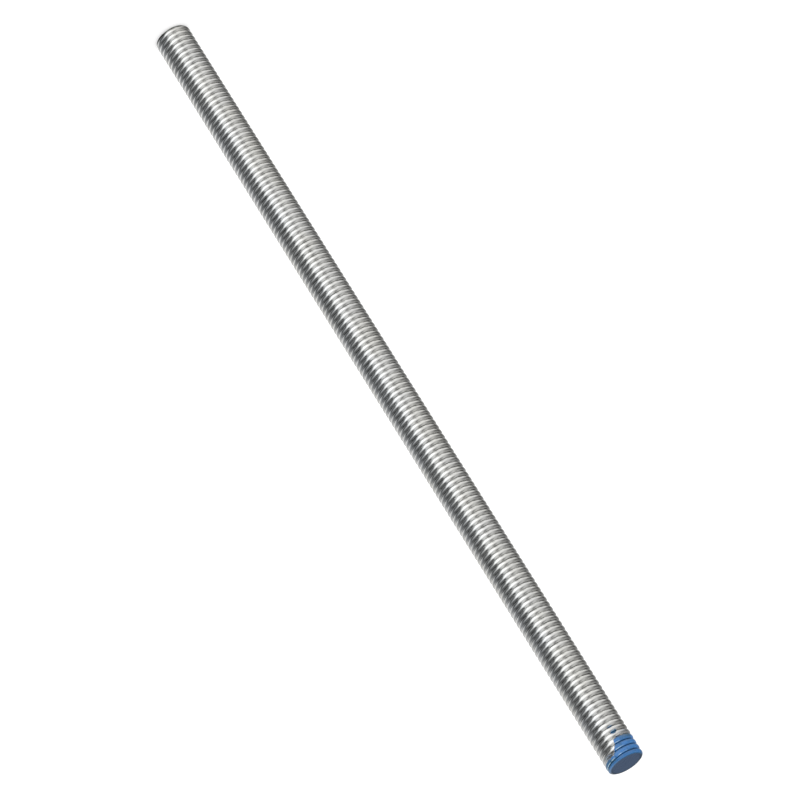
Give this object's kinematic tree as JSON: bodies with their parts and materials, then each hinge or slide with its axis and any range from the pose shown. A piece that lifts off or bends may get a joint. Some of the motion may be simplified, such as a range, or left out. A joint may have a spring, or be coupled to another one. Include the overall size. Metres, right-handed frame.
{
  "type": "threaded rod",
  "caption": "Straight steel rod with a right-hand thread over its whole length, chamfered flat ends, and one end dipped in blue paint.",
  "frame": {"origin": "centre of the plain, unpainted end face", "axes": "+Z along the rod's axis, from the plain end to the blue-painted end"},
  "size_m": [0.0126, 0.0126, 0.3048],
  "materials": {
    "zinc_steel": "bright zinc plate over rolled low-carbon steel, with blue paint over the last few turns and the face of the upper end"
  },
  "bodies": {
    "root": {"rod": "zinc_steel"}
  },
  "joints": []
}
